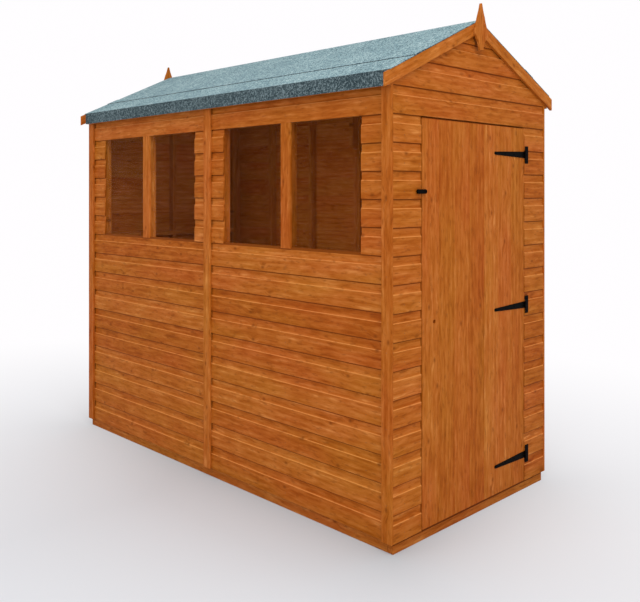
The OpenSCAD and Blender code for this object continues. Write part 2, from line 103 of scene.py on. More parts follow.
def stained_pine(name, stops, knot_and_shade_code, roughness):
    """Dip-stained sawn pine: growth rings and streaks along the grain, darker knots, a dull sheen.

    Each length of timber carries its own run of grain in metres, x along it, y into it, z across it.
    """
    material, tree, shader = finish(name)
    run = add_node(tree, "ShaderNodeAttribute", attribute_name="grain").outputs["Vector"]
    tone = add_node(tree, "ShaderNodeAttribute", attribute_name="tone").outputs["Fac"]

    # knots right through the board, up to 30 mm long, one to about half a metre
    knot_space = add_node(tree, "ShaderNodeMapping", {"Rotation": (math.radians(90), 0, 0), "Scale": (9.0, 9.0, 14.0)},
                          {"Vector": run})
    cells = add_node(tree, "ShaderNodeTexVoronoi", {"Scale": 1.0}, {"Vector": knot_space.outputs[0]},
                     voronoi_dimensions="2D")
    near = add_node(tree, "ShaderNodeMapRange", {"From Min": 0.05, "From Max": 0.5, "To Min": 1.0, "To Max": 0.0},
                    {"Value": cells.outputs["Distance"]}, interpolation_type="SMOOTHERSTEP")
    core = add_node(tree, "ShaderNodeMapRange", {"From Min": 0.0, "From Max": 0.17, "To Min": 1.0, "To Max": 0.0},
                    {"Value": cells.outputs["Distance"]}, interpolation_type="SMOOTHSTEP")
    chosen = add_node(tree, "ShaderNodeSeparateColor", links={"Color": cells.outputs["Color"]})
    some = add_node(tree, "ShaderNodeMath", {1: 0.86}, {0: chosen.outputs["Red"]}, operation="GREATER_THAN")
    swirl = add_node(tree, "ShaderNodeMath", links={0: near.outputs[0], 1: some.outputs[0]}, operation="MULTIPLY")
    knot = add_node(tree, "ShaderNodeMath", links={0: core.outputs[0], 1: some.outputs[0]}, operation="MULTIPLY")

    # the grain wanders a few millimetres in half a metre, and bends round a knot
    wander_space = add_node(tree, "ShaderNodeVectorMath", {1: (1.8, 7.0, 7.0)}, {0: run}, operation="MULTIPLY")
    wander = add_node(tree, "ShaderNodeTexNoise", {"Scale": 1.0, "Detail": 2.0}, {"Vector": wander_space.outputs[0]})
    bend = add_node(tree, "ShaderNodeMath", {1: 0.03}, {0: wander.outputs["Fac"]}, operation="MULTIPLY")
    around = add_node(tree, "ShaderNodeMath", {1: 0.012}, {0: swirl.outputs[0], 2: bend.outputs[0]},
                      operation="MULTIPLY_ADD")
    shift = add_node(tree, "ShaderNodeCombineXYZ", links={"Z": around.outputs[0]})
    bent = add_node(tree, "ShaderNodeVectorMath", links={0: run, 1: shift.outputs[0]}, operation="ADD")

    # growth rings some 15 mm apart on a flat-sawn face
    ring_space = add_node(tree, "ShaderNodeVectorMath", {1: (1.4, 22.0, 22.0)}, {0: bent.outputs[0]},
                          operation="MULTIPLY")
    rings = add_node(tree, "ShaderNodeTexWave", {"Scale": 0.48, "Distortion": 5.0, "Detail": 2.0, "Detail Scale": 0.6},
                     {"Vector": ring_space.outputs[0]}, wave_type="BANDS", bands_direction="Z")

    # streaks 15 mm wide and a hand long, where boards took up the stain unevenly, blotches a hand wide,
    # lines of latewood 7 mm apart, saw and pore lines 2 mm apart, and dark flecks 20 mm long
    marks = {}
    for mark, followed, stretch, detail, roughened in (
        ("streaks", bent.outputs[0], (7.0, 55.0, 55.0), 3.0, 0.6),
        ("blotches", run, (9.0, 16.0, 22.0), 3.0, 0.6),
        ("lines", bent.outputs[0], (13.0, 140.0, 140.0), 2.0, 0.5),
        ("pores", bent.outputs[0], (18.0, 420.0, 420.0), 2.0, 0.5),
        ("flecks", bent.outputs[0], (26.0, 70.0, 95.0), 2.0, 0.5),
    ):
        space = add_node(tree, "ShaderNodeVectorMath", {1: stretch}, {0: followed}, operation="MULTIPLY")
        noise = add_node(tree, "ShaderNodeTexNoise", {"Scale": 1.0, "Detail": detail, "Roughness": roughened},
                         {"Vector": space.outputs[0]})
        marks[mark] = noise.outputs["Fac"]
    fleck = add_node(tree, "ShaderNodeMapRange", {"From Min": 0.56, "From Max": 0.74, "To Max": 0.5},
                     {"Value": marks["flecks"]})

    mix = add_node(tree, "ShaderNodeMath", {1: 0.10}, {0: rings.outputs["Fac"]}, operation="MULTIPLY")
    for source, share in ((marks["streaks"], 0.5), (marks["blotches"], 0.5), (marks["lines"], 0.5),
                          (marks["pores"], 0.12), (tone, 0.075)):
        mix = add_node(tree, "ShaderNodeMath", {1: share}, {0: source, 2: mix.outputs[0]}, operation="MULTIPLY_ADD")
    depth = add_node(tree, "ShaderNodeMapRange", {"From Min": 0.56, "From Max": 1.16}, {"Value": mix.outputs[0]})
    colour = add_node(tree, "ShaderNodeValToRGB", links={"Fac": depth.outputs[0]}, stops=stops)

    # where the tone is far above zero a highlight is painted towards the palest colour, and where it is far below the
    # colour is darkened towards that of the knots, for painted shade and for stain soaked into end grain
    painted_highlight = add_node(tree, "ShaderNodeMapRange", {"From Min": 3.0, "From Max": 8.0, "To Max": 0.45},
                           {"Value": tone})
    wear_and_highlight = add_node(tree, "ShaderNodeMix", {"B": linear(stops[-1][1])},
                    {"Factor": painted_highlight.outputs[0], "A": colour.outputs["Color"]}, data_type="RGBA")
    stain_and_shade = add_node(tree, "ShaderNodeMapRange", {"From Min": -3.0, "From Max": -8.0, "To Max": 0.65},
                        {"Value": tone})
    dark = add_node(tree, "ShaderNodeMath", {1: 0.75}, {0: knot.outputs[0]}, operation="MULTIPLY")
    for source in (fleck, stain_and_shade):
        dark = add_node(tree, "ShaderNodeMath", links={0: dark.outputs[0], 1: source.outputs[0]}, operation="MAXIMUM")
    knotted = add_node(tree, "ShaderNodeMix", {"B": linear(knot_and_shade_code)},
                       {"Factor": dark.outputs[0], "A": wear_and_highlight.outputs["Result"]}, data_type="RGBA")
    # the stain runs from reddish to yellowish along a board
    warmth = add_node(tree, "ShaderNodeMapRange", {"From Min": 0.3, "From Max": 0.7, "To Min": 0.4945, "To Max": 0.505},
                      {"Value": wander.outputs["Fac"]})
    hued = add_node(tree, "ShaderNodeHueSaturation",
                    links={"Hue": warmth.outputs[0], "Color": knotted.outputs["Result"]})
    tree.links.new(hued.outputs["Color"], shader.inputs["Base Color"])

    bump = add_node(tree, "ShaderNodeBump", {"Strength": 0.25, "Distance": 0.0006}, {"Height": marks["pores"]})
    tree.links.new(bump.outputs["Normal"], shader.inputs["Normal"])
    shader.inputs["Roughness"].default_value = roughness
    shader.inputs["Specular IOR Level"].default_value = 0.08
    return material


# Colours from the darkest latewood to the palest streak of the stained timber
honey_pine = stained_pine(
    "honey_dip_stained_pine",
    [(0.0, "#8A4000"), (0.25, "#9E4F0A"), (0.5, "#AC5C19"), (0.75, "#B76827"), (1.0, "#CA7E3C")],
    "#743601", 0.62)
frame_pine = stained_pine(
    "sawn_pine_framing",
    [(0.0, "#823C02"), (0.25, "#954C0B"), (0.5, "#A4581A"), (0.75, "#AF6526"), (1.0, "#C07938")],
    "#642E04", 0.7)

AXIS = {"X": Vector((1, 0, 0)), "Y": Vector((0, 1, 0)), "Z": Vector((0, 0, 1))}


def grain_run(along, facing):
    """Turns places into a run of grain, along one direction and cut flat to another."""
    along = AXIS[along] if isinstance(along, str) else along
    facing = AXIS[facing] if isinstance(facing, str) else facing
    return Matrix((along, facing, along.cross(facing)))


class Joinery:
    """Lengths of timber put together as one piece, each with its own grain and tone."""

    def __init__(self, name):
        self.name = name
        self.shape = bmesh.new()
        self.grain = []
        self.tone = []

    # stained gives each point a change of tone, used for stain soaked into end grain, for painted shade and for a
    # painted highlight
    def fit(self, length, place=Matrix(), run=Matrix.Identity(3), stained=None):
        start = Vector((grain_seed.uniform(0, 9), grain_seed.uniform(0, 9), grain_seed.uniform(0, 9)))
        tone = grain_seed.uniform(-1, 1)
        for v in length.verts:
            self.grain.extend(run @ v.co + start)
            self.tone.append(tone + (stained(v.co) if stained else 0))
        length.transform(place)
        loose = bpy.data.meshes.new("length")
        length.to_mesh(loose)
        length.free()
        self.shape.from_mesh(loose)
        bpy.data.meshes.remove(loose)

    def done(self, material, slot, *nodes, body="root", smooth=0):
        mesh = bpy.data.meshes.new(self.name)
        self.shape.to_mesh(mesh)
        self.shape.free()
        mesh.attributes.new("grain", "FLOAT_VECTOR", "POINT").data.foreach_set("vector", self.grain)
        mesh.attributes.new("tone", "FLOAT", "POINT").data.foreach_set("value", self.tone)
        mesh.materials.append(material)
        if smooth:
            mesh.shade_smooth()
            mesh.set_sharp_from_angle(angle=math.radians(smooth))
        piece = bpy.data.objects.new(self.name, mesh)
        bpy.context.scene.collection.objects.link(piece)
        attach(piece, body)
        if nodes:
            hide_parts(*nodes)
        return piece


def eased(shape, width=arris):
    """Takes the sharp arrises off a shape."""
    bmesh.ops.bevel(shape, geom=shape.edges[:], offset=width, segments=1, affect="EDGES", profile=0.5, material=-1)
    return shape


def stick(low, high, width=arris):
    """A length of squared timber between two corners."""
    low, high = Vector(low), Vector(high)
    shape = bmesh.new()
    bmesh.ops.create_cube(shape, size=1.0)
    bmesh.ops.scale(shape, vec=high - low, verts=shape.verts)
    bmesh.ops.translate(shape, vec=(low + high) / 2, verts=shape.verts)
    return eased(shape, width) if width else shape


def sawn(shape, point, normal):
    """Saws off what lies beyond a plane and closes the end."""
    geometry = shape.verts[:] + shape.edges[:] + shape.faces[:]
    cut = bmesh.ops.bisect_plane(shape, geom=geometry, dist=1e-6, plane_co=point, plane_no=normal, clear_outer=True)
    edges = [g for g in cut["geom_cut"] if isinstance(g, bmesh.types.BMEdge)]
    if edges:
        bmesh.ops.edgenet_fill(shape, edges=edges)
    return shape


def scribed(shape, point, normal):
    """Adds an edge all round a shape where a plane crosses it, so that its tone can change there."""
    bmesh.ops.bisect_plane(shape, geom=shape.verts[:] + shape.edges[:] + shape.faces[:], dist=1e-6,
                           plane_co=point, plane_no=normal)
    return shape


def cut_away(shape, cutter):
    """Takes one closed shape out of another."""
    meshes = [bpy.data.meshes.new("wood"), bpy.data.meshes.new("cutter")]
    for mesh, solid in zip(meshes, (shape, cutter)):
        solid.to_mesh(mesh)
        solid.free()
    objects = [bpy.data.objects.new(m.name, m) for m in meshes]
    for o in objects:
        bpy.context.scene.collection.objects.link(o)
    cut = objects[0].modifiers.new("cut", "BOOLEAN")
    cut.operation, cut.solver, cut.object = "DIFFERENCE", "EXACT", objects[1]
    bpy.context.view_layer.update()
    made = bmesh.new()
    made.from_object(objects[0], bpy.context.evaluated_depsgraph_get())
    for o in objects:
        bpy.data.objects.remove(o)
    for m in meshes:
        bpy.data.meshes.remove(m)
    return made


base_low, base_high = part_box("base_frame")
floor_low, floor_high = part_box("floor_boards")
stops_low, stops_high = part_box("door_stops")
open_x = stops_high.x
check_y = floor_low.y + check_d
check_z = base_high.z - check_h

base = Joinery("base_frame_joists")
rim_in = joist_w + butt_gap
for k in range(joist_count + 2):
    x = base_low.x + k * (base_high.x - base_low.x - joist_w) / (joist_count + 1)
    base.fit(stick((x, base_low.y + rim_in, 0), (x + joist_w, base_high.y - rim_in, base_high.z)),
             run=grain_run("Y", "X"))
base.fit(stick((base_low.x, base_high.y - joist_w, 0), base_high), run=grain_run("X", "Y"))
rim = stick((base_low.x, base_low.y, 0), (base_high.x, base_low.y + joist_w, base_high.z))
check = stick((-open_x, base_low.y - joist_w, check_z), (open_x, check_y, base_high.z + joist_w), 0)
rim = cut_away(rim, check)
# a band of painted shadow darkens the top of the rim under the foot of the boarding
rim_shadow_z = base_high.z - rim_shadow_h
for z in (rim_shadow_z - tone_edge, rim_shadow_z):
    scribed(rim, (0, 0, z), (0, 0, 1))
base.fit(rim, run=grain_run("X", "Y"), stained=lambda at: dark_stain_and_shade_tone if at.z > rim_shadow_z - tone_edge / 2 else 0)
base.done(frame_pine, "framing", "base_frame")


# ---- Floor ----
# Tongued and grooved softwood boards nailed across the joists, their joints closed up, and cut back a
# little in the doorway for the foot of the door.

floor_cover = 0.1
floor_arris = 0.0008
end_arris = 0.0005
floor = Joinery("floor_boarding")
rows = round((floor_high.y - floor_low.y) / floor_cover)
for k in range(rows):
    y = floor_low.y + k * floor_cover
    low = Vector((floor_low.x, y if k else check_y, floor_low.z))
    floor.fit(stick(low, (floor_high.x, y + floor_cover, floor_high.z), floor_arris), run=grain_run("X", "Z"))
for side in (-1, 1):
    x = sorted((side * open_x, side * floor_high.x))
    floor.fit(stick((x[0], floor_low.y, floor_low.z), (x[1], check_y, floor_high.z), end_arris),
              run=grain_run("X", "Z"))
floor.done(frame_pine, "deal_boards", "floor_boards")


# ---- Wall frames ----
# Sawn softwood studs and rails, nailed up as panels that are bolted to each other. They show inside
# through the windows and the open door.

stud_w = 0.028
wall_low, wall_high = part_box("window_wall_front")
gable_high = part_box("rear_gable_wall")[1]
side_frame_low, side_frame_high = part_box("window_frame_front")
gable_frame_low, gable_frame_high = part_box("rear_gable_frame")
ridge_z = gable_high.z
outer_x = -wall_low.x
frame_x = -side_frame_low.x
inner_x = -side_frame_high.x
frame_y = gable_frame_high.y
inner_y = gable_frame_low.y
half_l = gable_high.y
roof_fall = (ridge_z - wall_high.z) / frame_x
pitch = math.atan(roof_fall)
foot_z = wall_low.z
floor_z = floor_high.z
mullion_low, mullion_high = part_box("mullions")
mullion_w = 0.066
sill_z = mullion_low.z
head_z = mullion_high.z
glass_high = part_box("glazing")[1]
glass_gap = 0.0003
glass_lap = 0.014
win_y1 = glass_high.y + glass_gap - glass_lap
pane_mid = mullion_high.y - mullion_w / 2
win_mid = 2 * pane_mid - win_y1


def roof_at(x):
    """Height of the underside of the roof boards at x."""
    return ridge_z - abs(x) * roof_fall


def slab(outline, y0, y1, width=arris):
    """A shape of this outline in x and z, as thick as from y0 to y1."""
    shape = bmesh.new()
    ring = [shape.verts.new((x, y0, z)) for x, z in outline]
    grown = bmesh.ops.extrude_face_region(shape, geom=[shape.faces.new(ring)])
    far = [g for g in grown["geom"] if isinstance(g, bmesh.types.BMVert)]
    bmesh.ops.translate(shape, verts=far, vec=(0, y1 - y0, 0))
    bmesh.ops.recalc_face_normals(shape, faces=shape.faces)
    return eased(shape, width) if width else shape


def side_panel(name, side, y0, y1, studs, window=None):
    """The frame of one side panel: rails, studs and the trimming of a window."""
    panel = Joinery(name)
    x = sorted((side * frame_x, side * inner_x))
    rail_z = roof_at(frame_x) - stud_w
    top = stick((x[0], y0, rail_z), (x[1], y1, roof_at(inner_x)))
    sawn(top, (side * frame_x, 0, roof_at(frame_x)), (side * math.sin(pitch), 0, math.cos(pitch)))
    panel.fit(top, run=grain_run("Y", "X"))
    panel.fit(stick((x[0], y0, floor_z), (x[1], y1, floor_z + stud_w)), run=grain_run("Y", "X"))
    for y in studs:
        panel.fit(stick((x[0], y, floor_z + stud_w), (x[1], y + stud_w, rail_z)), run=grain_run("Z", "X"))
    if window:
        w0, w1 = window
        low, high = sill_z - glass_lap, head_z + glass_lap
        for z in (low - stud_w, high):
            panel.fit(stick((x[0], w0, z), (x[1], w1, z + stud_w)), run=grain_run("Y", "X"))
        mid = (w0 + w1 - stud_w) / 2
        for z0, z1 in ((floor_z + stud_w, low - stud_w), (low, high), (high + stud_w, rail_z)):
            panel.fit(stick((x[0], mid, z0), (x[1], mid + stud_w, z1)), run=grain_run("Z", "X"))
    return panel


for name, sign in (("front", -1), ("rear", 1)):
    y0, y1 = sorted((0, sign * frame_y))
    w0, w1 = sorted((sign * (win_mid - glass_lap), sign * (win_y1 + glass_lap)))
    side_panel("window_panel_" + name, -1, y0, y1, (y0, w0 - stud_w, w1, y1 - stud_w), (w0, w1)).done(
        frame_pine, "framing", "window_frame_" + name)
    step = (y1 - y0 - stud_w) / 3
    side_panel("plain_panel_" + name, 1, y0, y1, [y0 + k * step for k in range(4)]).done(
        frame_pine, "framing", "plain_frame_" + name)


def gable_top(panel, z0, y0, y1):
    """Posts, a cross rail and sloping rails from z0 up to the roof."""
    rail = stud_w / math.cos(pitch)
    panel.fit(stick((-inner_x, y0, z0), (inner_x, y1, z0 + stud_w)), run=grain_run("X", "Y"))
    for side in (-1, 1):
        line = [(0, ridge_z), (side * inner_x, roof_at(inner_x)),
                (side * inner_x, roof_at(inner_x) - rail), (0, ridge_z - rail)]
        panel.fit(slab(line, y0, y1), run=grain_run(Vector((math.cos(pitch), 0, -side * math.sin(pitch))), "Y"))
        outer, inner = side * inner_x, side * (inner_x - stud_w)
        post = [(outer, z0 + stud_w), (inner, z0 + stud_w),
                (inner, roof_at(inner) - rail), (outer, roof_at(outer) - rail)]
        panel.fit(slab(post, y0, y1), run=grain_run("Z", "Y"))
    half = stud_w / 2
    centre = [(-half, z0 + stud_w), (half, z0 + stud_w), (half, roof_at(half) - rail), (0, ridge_z - rail),
              (-half, roof_at(half) - rail)]
    panel.fit(slab(centre, y0, y1), run=grain_run("Z", "Y"))


rear = Joinery("rear_gable_panel")
gable_top(rear, floor_z, inner_y, frame_y)
for side in (-1, 1):
    x = sorted((side * stud_w / 2, side * (inner_x - stud_w)))
    rear.fit(stick((x[0], inner_y, sill_z - stud_w), (x[1], frame_y, sill_z)), run=grain_run("X", "Y"))
rear.done(frame_pine, "framing", "rear_gable_frame")

front = Joinery("front_gable_panel")
gable_top(front, head_z, -frame_y, -inner_y)
front.done(frame_pine, "framing", "front_gable_frame")

for name, side in (("left", -1), ("right", 1)):
    pier = Joinery("pier_panel_" + name)
    for x in (side * open_x, side * (inner_x - stud_w)):
        x0, x1 = sorted((x, x + side * stud_w))
        pier.fit(stick((x0, -frame_y, floor_z), (x1, -inner_y, head_z)), run=grain_run("Z", "X"))
    x0, x1 = sorted((side * (open_x + stud_w), side * (inner_x - stud_w)))
    for z in (floor_z, head_z - stud_w):
        pier.fit(stick((x0, -frame_y, z), (x1, -inner_y, z + stud_w)), run=grain_run("X", "Y"))
    pier.done(frame_pine, "framing", "pier_frame_" + name)


# ---- Shiplap boarding ----
# Each board has a flat face, a scoop along its top that thins it to a tongue, and a rebated lower
# edge whose lip hangs over the tongue of the board below. They are nailed to the studs from outside.

board_cover = 0.113
boarding_t = 0.012
scoop_r = 0.012
scoop_h = 0.039
tongue_t = 0.0065
lip_lap = 0.008
lip_ease = 0.0012
lap_gap = 0.0003
turn_h = math.sqrt(scoop_r ** 2 - (scoop_r - boarding_t + tongue_t) ** 2)
turn_in = math.asin(turn_h / scoop_r)
turn_steps = 6
# heights of the painted highlight along the scoop's lower arris and of the painted shade under the lip
highlight_band = 0.002
lip_shade = 0.0042
scoop_line = [
    (tongue_t + scoop_r - scoop_r * math.cos(a), board_cover - scoop_h + turn_h - scoop_r * math.sin(a))
    for a in (turn_in * (1 - k / turn_steps) for k in range(turn_steps + 1))
]
shiplap = [
    (tongue_t + lap_gap, 0), (boarding_t - lip_ease, 0), (boarding_t, lip_ease),
    (boarding_t, board_cover - scoop_h - highlight_band), *scoop_line,
    (tongue_t, board_cover - lip_shade - tone_edge), (tongue_t, board_cover - lip_shade),
    (tongue_t, board_cover + lip_lap - 2 * lap_gap), (0, board_cover + lip_lap - 2 * lap_gap), (0, lip_lap),
    (tongue_t + lap_gap, lip_lap),
]


def board(section, start, end, up):
    """A board from start to end along x, with a section of points outwards and up."""
    shape = bmesh.new()
    ring = [shape.verts.new((start, -out, up + z)) for out, z in section]
    grown = bmesh.ops.extrude_face_region(shape, geom=[shape.faces.new(ring)])
    far = [g for g in grown["geom"] if isinstance(g, bmesh.types.BMVert)]
    bmesh.ops.translate(shape, verts=far, vec=(end - start, 0, 0))
    bmesh.ops.recalc_face_normals(shape, faces=shape.faces)
    return shape


def scoop_painted_light(at):
    """Painted shade in the corner under the lip above, and a painted highlight on the lower arris of the scoop."""
    out, up = -at.y, (at.z - foot_z) % board_cover
    if out < tongue_t - lap_gap:
        return 0
    in_corner = up > board_cover - lip_shade - tone_edge / 2 or up < lip_lap + 0.001
    if out < tongue_t + lap_gap + 0.0001 and in_corner:
        return dark_stain_and_shade_tone
    on_arris = out > boarding_t - 0.0018 and board_cover - scoop_h - highlight_band / 2 < up < board_cover - 0.0002
    return painted_highlight_tone if on_arris else 0


def boarded(name, place, top, runs, cuts, node):
    """A wall of boards from the foot up, with the runs of each row, cut to the roof."""
    wall = Joinery(name)
    for row in range(math.ceil((top - foot_z) / board_cover - 0.01)):
        z = foot_z + row * board_cover
        for start, end in runs(row):
            length = board(shiplap, start, end, z)
            for point, normal in cuts:
                if length.verts:
                    sawn(length, point, normal)
            if length.verts:
                wall.fit(length, place, stained=scoop_painted_light)
            else:
                length.free()
    return wall.done(honey_pine, "stained_boarding", node, smooth=28)


head_row = round((head_z - foot_z) / board_cover)
sill_row = round((sill_z - foot_z) / board_cover)
side_cut = [((0, 0, roof_at(frame_x)), (0, -math.sin(pitch), math.cos(pitch)))]
gable_cut = [((0, 0, ridge_z), (s * math.sin(pitch), 0, math.cos(pitch))) for s in (-1, 1)]
to_left = Matrix.Translation((-frame_x, 0, 0)) @ Matrix.Rotation(math.radians(-90), 4, "Z")
to_right = Matrix.Translation((frame_x, 0, 0)) @ Matrix.Rotation(math.radians(90), 4, "Z")
to_front = Matrix.Translation((0, -frame_y, 0))
to_rear = Matrix.Translation((0, frame_y, 0)) @ Matrix.Rotation(math.radians(180), 4, "Z")

# on the window wall a board's x runs towards the door gable
for name, sign in (("front", 1), ("rear", -1)):
    ends = sorted((0, sign * frame_y))
    hole = sorted((sign * win_mid, sign * win_y1))

    def window_runs(row, ends=ends, hole=hole):
        if sill_row <= row < head_row:
            return [(ends[0], hole[0]), (hole[1], ends[1])]
        return [tuple(ends)]

    boarded("window_wall_boards_" + name, to_left, roof_at(frame_x), window_runs, side_cut, "window_wall_" + name)
for name, sign in (("front", -1), ("rear", 1)):
    ends = tuple(sorted((0, sign * frame_y)))
    boarded("plain_wall_boards_" + name, to_right, roof_at(frame_x), lambda row, ends=ends: [ends], side_cut,
            "plain_wall_" + name)
boarded("rear_gable_boards", to_rear, ridge_z, lambda row: [(-outer_x, outer_x)], gable_cut, "rear_gable_wall")
boarded("pier_boards_left", to_front, head_z, lambda row: [(-outer_x, -open_x)], [], "front_pier_left")
boarded("pier_boards_right", to_front, head_z, lambda row: [(open_x, outer_x)], [], "front_pier_right")
boarded("front_gable_boards", to_front, ridge_z, lambda row: [(-outer_x, outer_x)] if row >= head_row else [],
        gable_cut, "front_gable_wall")


# ---- Corner and cover strips, mullion boards ----
# Planed strips nailed over the corners and over the joint between the side panels, and a board over
# the stud between the two panes of each window.

strip_w = 0.052
strip_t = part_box("corner_strips")[1].x - outer_x
strip_arris = 0.0008
roof_plane = {s: ((0, 0, ridge_z), (s * math.sin(pitch), 0, math.cos(pitch))) for s in (-1, 1)}


def strip(joinery, side, y0):
    x = sorted((side * outer_x, side * (outer_x + strip_t)))
    length = stick((x[0], y0, foot_z), (x[1], y0 + strip_w, ridge_z), strip_arris)
    joinery.fit(sawn(length, *roof_plane[side]), run=grain_run("Z", "X"))


corners = Joinery("corner_strips_planed")
covers = Joinery("mid_strips_planed")
for side in (-1, 1):
    strip(corners, side, -half_l)
    strip(corners, side, half_l - strip_w)
    strip(covers, side, -strip_w / 2)
corners.done(honey_pine, "stained_boarding", "corner_strips")
covers.done(honey_pine, "stained_boarding", "mid_strips")

mullions = Joinery("mullion_boards")
for y in (-pane_mid, pane_mid):
    mullions.fit(stick((-outer_x, y - mullion_w / 2, sill_z), (-frame_x, y + mullion_w / 2, head_z), strip_arris),
                 run=grain_run("Z", "X"))
mullions.done(honey_pine, "stained_boarding", "mullions")


# ---- Windows ----
# Clear sheet that laps behind the edges of the boarding, held there by deep softwood beads that are
# pinned to the studs.

bead_w = 0.012
bead_low, bead_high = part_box("window_beads")
beads = Joinery("glazing_beads")
for side in (-1, 1):
    for inner, outer in ((win_mid - glass_lap, pane_mid - stud_w / 2), (pane_mid + stud_w / 2, win_y1 + glass_lap)):
        y0, y1 = sorted((side * inner, side * outer))
        for z in (bead_low.z, bead_high.z - bead_w):
            beads.fit(stick((bead_low.x, y0, z), (bead_high.x, y1, z + bead_w)), run=grain_run("Y", "X"))
        for y in (y0, y1 - bead_w):
            beads.fit(stick((bead_low.x, y, bead_low.z + bead_w), (bead_high.x, y + bead_w, bead_high.z - bead_w)),
                      run=grain_run("Z", "X"))
beads.done(frame_pine, "framing", "window_beads")


def dress(names, material):
    """Gives a material to solids that keep their own shape."""
    for name in names:
        part = frame["nodes"][name]
        part.data.materials.clear()
        part.data.materials.append(material)


def clear_sheet():
    """Clear glazing sheet: nearly all light goes through, and little is thrown back."""
    material, tree, shader = finish("clear_glazing_sheet")
    shader.inputs["Base Color"].default_value = linear("#0D1210")
    shader.inputs["Roughness"].default_value = 0.04
    shader.inputs["IOR"].default_value = 1.49
    shader.inputs["Specular IOR Level"].default_value = 0.25
    shader.inputs["Alpha"].default_value = 0.05
    return material


dress(["glazing"], clear_sheet())


# ---- Roof truss ----
# Two sloping sawn timbers on short legs, nailed at the ridge and bolted to the double studs at mid
# length.

truss_low, truss_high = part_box("roof_truss")
truss_d = 0.050
leg_cut = 0.022
truss = Joinery("truss_timbers")
drop = truss_d / math.cos(pitch)
leg_in = inner_x - truss_d
for side in (-1, 1):
    rafter = [(0, ridge_z), (side * leg_in, roof_at(leg_in)), (side * leg_in, roof_at(leg_in) - drop),
              (0, ridge_z - drop)]
    truss.fit(slab(rafter, truss_low.y, truss_high.y),
              run=grain_run(Vector((math.cos(pitch), 0, -side * math.sin(pitch))), "Y"))
    leg = [(side * inner_x, roof_at(inner_x)), (side * inner_x, truss_low.z), (side * (leg_in + leg_cut), truss_low.z),
           (side * leg_in, truss_low.z + leg_cut), (side * leg_in, roof_at(leg_in))]
    truss.fit(slab(leg, truss_low.y, truss_high.y), run=grain_run("Z", "Y"))
truss.done(frame_pine, "framing", "roof_truss")


# ---- Roof boards and eaves battens ----
# Tongued and grooved boards along the length, their V joints showing inside, and a batten under each
# eaves for the felt to be nailed to.

roof_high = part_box("roof_boards_right")[1]
fold_x = roof_high.x
roof_t = (roof_high.z - ridge_z) * math.cos(pitch)
slope = fold_x / math.cos(pitch)
roof_rows = 7
roof_cover = slope / roof_rows
joint = 0.002
roof_section = [(0, joint), (joint, 0), (roof_t, 0), (roof_t, roof_cover), (joint, roof_cover),
                (0, roof_cover - joint)]
up_slope = Matrix((
    (0, -math.sin(pitch), -math.cos(pitch), fold_x),
    (1, 0, 0, 0),
    (0, -math.cos(pitch), math.sin(pitch), roof_at(fold_x)),
    (0, 0, 0, 1),
))
plumb = Vector((0, math.sin(pitch), math.cos(pitch)))
for name, turn in (("right", 0), ("left", 180)):
    deck = Joinery("roof_deck_" + name)
    for row in range(roof_rows + 1):
        length = board(roof_section, -half_l, half_l, (row - 0.04) * roof_cover)
        sawn(length, (0, 0, 0), -plumb)
        if length.verts:
            sawn(length, (0, 0, slope), plumb)
        if length.verts:
            deck.fit(length, Matrix.Rotation(math.radians(turn), 4, "Z") @ up_slope)
        else:
            length.free()
    deck.done(frame_pine, "deal_boards", "roof_boards_" + name)

batten_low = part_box("eaves_battens")[0]
batten_play = 0.0005
battens = Joinery("eaves_battens_sawn")
for side in (-1, 1):
    x = sorted((side * (outer_x + strip_t + batten_play), side * fold_x))
    length = stick((x[0], -half_l, batten_low.z), (x[1], half_l, ridge_z))
    battens.fit(sawn(length, *roof_plane[side]), run=grain_run("Y", "X"))
battens.done(frame_pine, "deal_boards", "eaves_battens")


# ---- Roofing felt ----
# Bitumen felt with a grey green mineral face: a sheet along each eaves, folded down over the batten
# where its bare selvedge shows dark, and a metre wide sheet over the ridge. They lie over the
# bargeboards.

felt_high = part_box("felt_ridge")[1]
lap_x = felt_high.x


